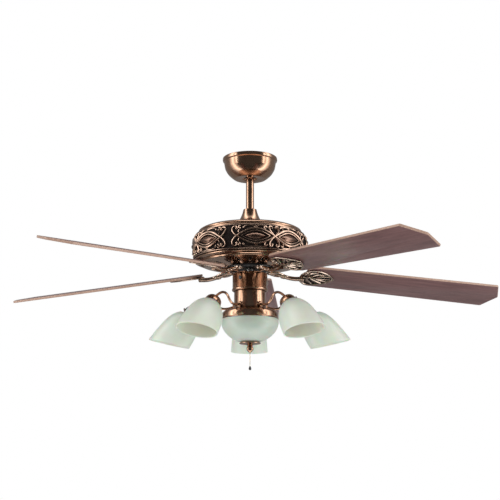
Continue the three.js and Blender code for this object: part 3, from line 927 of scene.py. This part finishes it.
def switch_drum():
    outline = [(8.4, -316.5), (41, -316.5), (44.4, -317.3), (45.9, -319.4), (45.9, -356.6), (46.6, -357.6)]
    outline += [(47.4, -359.2), (47.5, -361), (46.8, -362.6), (45.4, -363.6), (43.4, -364.5)]
    skin = turned(walled(outline, SHEET))
    piece("switch_drum", skin, [COPPER], "hanging_frame", ["switch_housing"])
    plug = turned([(0, 1.5), (2.4, 1.7), (4.2, 1.5), (5.0, 0.6), (5.0, -1.2), (0, -1.2)], 24)
    azimuth = math.radians(-90 - 34)
    out = Vector((math.cos(azimuth), math.sin(azimuth), 0))
    place = facing(out * 45.9 + Vector((0, 0, -333)), out)
    piece("hole_plug", Skin().merge(plug, place), [BLACK], "hanging_frame")
    studs = Skin()
    for azimuth in (math.radians(-94), math.radians(-84), math.radians(86), math.radians(96)):
        x, y = 40 * math.cos(azimuth), 40 * math.sin(azimuth)
        studs.merge(turned([(0, 0), (1.6, 0), (1.6, 6.5), (0, 6.5)], 12), Matrix.Translation((x, y, -316.5)))
    piece("plate_studs", studs, [SILVER], "hanging_frame")


def hub():
    outline = [(0, -364.8), (39.6, -364.8), (41.2, -365.4), (41.7, -366.8), (41.7, -404), (41.7, -408.2)]
    piece("hub_drum", turned(walled(outline, SHEET)), [COPPER], "hanging_frame", ["lamp_hub"])


def pan():
    outline = [(5.4, -408.5), (38, -408.5), (43, -409.3)]
    outline += curve_through([(43, -409.3), (48, -411.8), (54, -414.4), (62.8, -416.2), (68.6, -418)], 5)[1:]
    outline += [(71.2, -420), (72.5, -423), (72.7, -427), (72.7, -434.6), (72.0, -436), (72.7, -437.4)]
    piece("pan_cover", turned(walled(outline, SHEET)), [COPPER], "hanging_frame", ["bowl_pan"])


def bowl():
    outline = [(67, -432), (67, -437.4), (69, -438.4), (73.4, -438.8), (74.7, -440.4)]
    outline += curve_through([
        (74.7, -440.4), (75, -446), (72.7, -458), (65, -471.8), (52, -484.6), (34, -494.4), (17, -498.6),
        (5.4, -499),
    ], 8)[1:]
    piece(
        "bowl_glass", turned(walled(outline, 3)), [BOWL_GLASS], "hanging_frame",
        ["glass_bowl"]
    )
    dress("bowl_stay", BRASS)
    envelope = curve_through([(8, -434), (13, -441), (15, -450), (12.6, -460), (6, -468), (0.4, -471)], 6)
    bulb = turned([(0, -422.5), (8, -422.5), (8, -433), *envelope, (0, -471)], 36)
    place = Matrix.Translation((-38, 0, 0))
    piece("candle_bulb", Skin().merge(bulb, place), [OPAL], "hanging_frame", ["bowl_bulb"])


def finial():
    top = -499.3
    outline = [
        (5.4, top), (25.4, top), (27.3, top - 0.5), (27.9, top - 1.6), (27.2, top - 2.8), (24, top - 3.4),
    ]
    outline += curve_through([(24, top - 3.4), (16, top - 4.2), (9.6, top - 6), (5.9, top - 8.4)], 5)[1:]
    outline += curve_through(
        [(5.9, top - 8.4), (7.4, top - 10.6), (9, top - 14), (9, top - 17), (7.6, top - 21), (5, top - 23.6)],
        5
    )[1:]
    outline += [(4, -524), (2.0, -524), (2.0, top - 6), (5.4, top - 6), (5.4, top)]
    piece("finial_knob", turned(outline, 64), [COPPER], "hanging_frame", ["finial"])
    dress("chain_stem", BRASS)


# ---- lamps ----

NECK_R, NECK_Z, LAMP_ANGLE = 169.8, -424.8, math.radians(51)
MOUTH_DEPTH, MOUTH_SLOPE, GLASS = 89, math.tan(math.radians(25)), 3
CUP_TOP = 29.3


def lamp_place(i):
    """The frame of a lamp's own axis: -Z runs out of its mouth."""
    turn = Matrix.Rotation(LAMP_AZIMUTH + i * FULL / COUNT, 4, "Z")
    tilt = Matrix.Translation((NECK_R * MM, 0, NECK_Z * MM)) @ Matrix.Rotation(
        LAMP_ANGLE - math.pi / 2, 4, "Y"
    )
    return turn @ tilt


def along_lamp(depth):
    return (NECK_R - depth * math.cos(LAMP_ANGLE), 0, NECK_Z + depth * math.sin(LAMP_ANGLE))


def shade_skin():
    """The shade's two walls, each line of longitude ending where it meets the slanted mouth."""
    outline = curve_through([
        (28, -0.5), (33, -6), (38, -14), (42, -23), (45.5, -35), (48, -50), (49.6, -68), (51, -92),
        (51.5, -140),
    ], 6)
    lengths = [-z for _, z in outline]

    def radius_at(depth):
        for (r0, z0), (r1, z1) in zip(outline, outline[1:]):
            if -z1 >= depth:
                return r0 + (r1 - r0) * (depth + z0) / (z0 - z1)
        return outline[-1][0]

    sides, rows = 72, 26
    points = []
    for i in range(sides):
        angle = i * FULL / sides
        cosine, sine = math.cos(angle), math.sin(angle)
        mouth = MOUTH_DEPTH
        for _ in range(6):
            mouth = MOUTH_DEPTH + MOUTH_SLOPE * cosine * radius_at(mouth)
        start = lengths[0]
        column = [(20, 15), (20, 4.6), (21, 2.6), (24, 1.2)]
        column += [(radius_at(d), -d) for d in (start + (mouth - start) * k / rows for k in range(rows + 1))]
        r, z = column[-1]
        column[-1] = (r, z + 1.2)
        column.append((r - 0.5, z + 0.25))
        column.append((r - GLASS / 2, z))
        column.append((r - GLASS + 0.5, z + 0.25))
        inner = [
            (radius_at(d) - GLASS, -d)
            for d in (start + (mouth - start - 1.2) * k / rows for k in range(rows, -1, -1))
        ]
        column += inner + [(21.6, -2), (18.2, -0.6), (17, 2.6), (17, 15), (20, 15)]
        points += [(r * cosine, r * sine, z) for r, z in column]
        count = len(column)
    faces = []
    for i in range(sides):
        here, there = i * count, ((i + 1) % sides) * count
        faces += [(here + j, there + j, there + j + 1, here + j + 1) for j in range(count - 1)]
    return Skin().add(points, faces)


def cup_skin():
    outline = [(0, 29), (7.4, 29), (8.6, 28.6)]
    outline += curve_through([(8.6, 28.6), (15, 26.3), (19.6, 21.4), (21.6, 14), (22.1, 10)], 5)[1:]
    outline += [(22.1, 8.2), (22.6, 7.6), (22.6, 6.2), (22.1, 6)]
    skin = turned(walled(outline, 1.3), 64)
    for i in range(3):
        azimuth = math.radians(30) + i * FULL / 3
        out = Vector((math.cos(azimuth), math.sin(azimuth), 0))
        stem = facing(out * 21.5 + Vector((0, 0, 11)), out)
        skin.merge(
            turned([(0, -0.6), (1.5, -0.6), (1.5, 1.6), (2.6, 1.9), (2.6, 3.4), (2.2, 3.9), (0, 4)], 16),
            stem
        )
    return skin


def socket_skin():
    return turned([
        (0, -4), (11.4, -4), (11.4, -1), (14, -1), (14, 12), (13.2, 13), (13.2, 15), (14, 16), (14, 21),
        (12.4, 23),
        (7, 25), (7, 27.4), (0, 27.4),
    ], SMALL_ROUND)


def bulb_skin():
    shape = curve_through(
        [(12, -8), (14.6, -15), (18.6, -24), (20, -33), (18, -42), (12, -49), (5, -51.6), (0.3, -52)], 6
    )
    threads = [(0, -4.3), (10.8, -4.3), (11.2, -5), (10.9, -5.8), (11.6, -6.6)]
    return turned([*threads, *shape, (0, -52)], SMALL_ROUND)


def arm_skin():
    start = 41.7 + GAP
    route = [(start + 0.5, -402), (55, -405.5), (68, -407), (80, -405), (90, -398), (98, -388.5), (105, -384)]
    route += [(113, -382.3), (124, -384), (135, -389)]
    points = [(r, 0, z) for r, z in route] + [along_lamp(CUP_TOP + 6), along_lamp(CUP_TOP)]
    line = curve_through(points, 6)
    skin = tube(line, 3.2, 16)
    flange = [(0, 0.4), (7, 0.4), (7, 2.2), (6.4, 3.2), (4.6, 4), (4.4, 5.2), (0, 5.2)]
    skin.merge(turned(flange, 32), facing((start, 0, -402), (1, 0, 0)))
    along = Vector(along_lamp(CUP_TOP + 5)) - Vector(along_lamp(CUP_TOP))
    nut = [(0, 0.1), (6.2, 0.1), (6.2, 3.4), (5.2, 4.4), (3.2, 4.8), (0, 4.8)]
    skin.merge(turned(nut, 6), facing(along_lamp(CUP_TOP), along))
    return skin


def lamps():
    shapes = [
        ("shade_glass", shade_skin(), SHADE_GLASS, "frosted_glass", "glass_shade"),
        ("fitter_cup", cup_skin(), ARM_COPPER, "copper", "shade_cup"),
        ("socket_body", socket_skin(), PORCELAIN, "porcelain", "lamp_socket"),
        ("opal_bulb", bulb_skin(), OPAL, "bulb_glass", "lamp_bulb"),
    ]
    arm = arm_skin()
    for i in range(COUNT):
        number = i + 1
        turn = Matrix.Rotation(LAMP_AZIMUTH + i * FULL / COUNT, 4, "Z")
        piece(
            f"swan_arm_{number}", arm, [ARM_COPPER], "hanging_frame", [f"lamp_arm_{number}"], turn
        )
        for name, skin, material, slot, node in shapes:
            piece(
                f"{name}_{number}", skin, [material], "hanging_frame", [f"{node}_{number}"],
                lamp_place(i)
            )


canopy()
bracket()
ball_and_liner()
rod()
ornament()
band_wall()
housing_covers()
motor()
blades()
switch_drum()
hub()
pan()
bowl()
finial()
lamps()

scene = bpy.context.scene
scene.view_settings.view_transform = "Standard"
scene.view_settings.look = "None"
